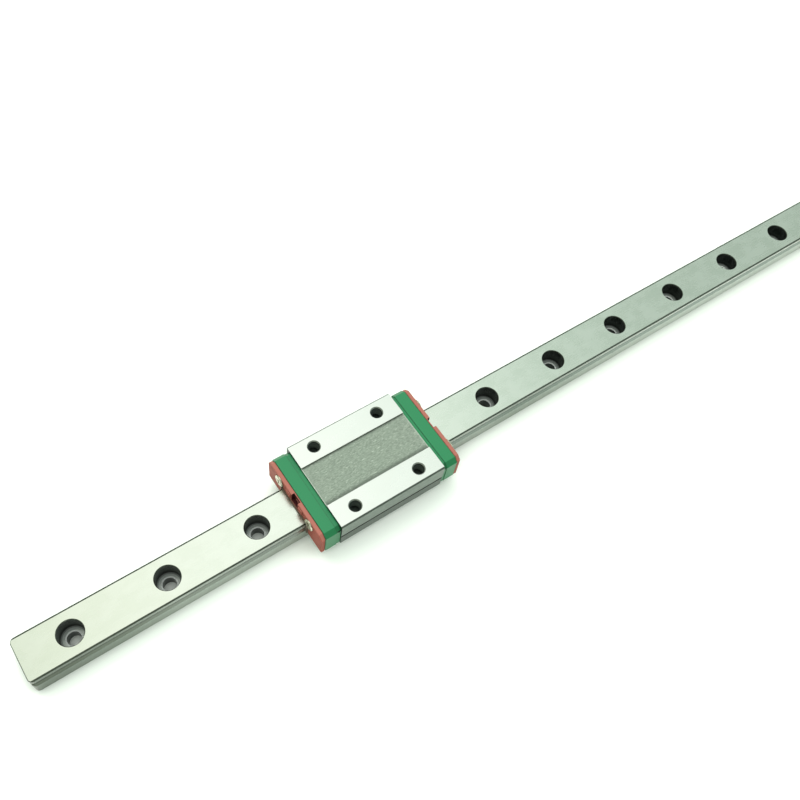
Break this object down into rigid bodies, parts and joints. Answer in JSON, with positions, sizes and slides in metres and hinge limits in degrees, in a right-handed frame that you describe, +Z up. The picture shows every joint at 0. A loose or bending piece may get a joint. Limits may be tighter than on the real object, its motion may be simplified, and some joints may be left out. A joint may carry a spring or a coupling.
{
  "type": "linear guide carriage on its rail",
  "caption": "Miniature recirculating-ball linear guide: a low steel carriage with end caps and seals that slides along a counterbored, side-grooved rail.",
  "frame": {"origin": "middle of the rail's underside, halfway along its length", "axes": "+X along the rail towards the carriage's rear end, +Y across the rail to the carriage's left, +Z up out of the rail's mounting face"},
  "size_m": [0.3, 0.027, 0.013],
  "materials": {
    "rail_steel": "ground and lightly oiled",
    "block_steel": "ground top strips, as-drawn middle and sides",
    "cap_plastic": "moulded, satin gloss",
    "seal_plastic": "moulded, satin",
    "lip_rubber": "soft, matt",
    "screw_steel": "plated, slightly yellow",
    "guide_plastic": "moulded, low friction",
    "wire_steel": "drawn spring wire",
    "ball_steel": "lapped"
  },
  "bodies": {
    "rail": {"rail": "rail_steel"},
    "carriage": {"carriage_block": "block_steel", "end_cap_front": "cap_plastic", "end_seal_front": "seal_plastic", "wiper_lip_front": "lip_rubber", "cap_screw_front_left": "screw_steel", "return_guide_front_left": "guide_plastic", "cap_screw_front_right": "screw_steel", "return_guide_front_right": "guide_plastic", "end_cap_rear": "cap_plastic", "end_seal_rear": "seal_plastic", "wiper_lip_rear": "lip_rubber", "cap_screw_rear_left": "screw_steel", "return_guide_rear_left": "guide_plastic", "cap_screw_rear_right": "screw_steel", "return_guide_rear_right": "guide_plastic", "ball_retainer_left": "wire_steel", "balls_loaded_left": "ball_steel", "balls_rear_turn_left": "ball_steel", "balls_return_left": "ball_steel", "balls_front_turn_left": "ball_steel", "ball_retainer_right": "wire_steel", "balls_loaded_right": "ball_steel", "balls_rear_turn_right": "ball_steel", "balls_return_right": "ball_steel", "balls_front_turn_right": "ball_steel"}
  },
  "joints": [
    {"name": "carriage_slide", "type": "slide", "parent": "rail", "child": "carriage", "axis": [1, 0, 0], "range_m": [-0.0729, 0.1817]}
  ]
}
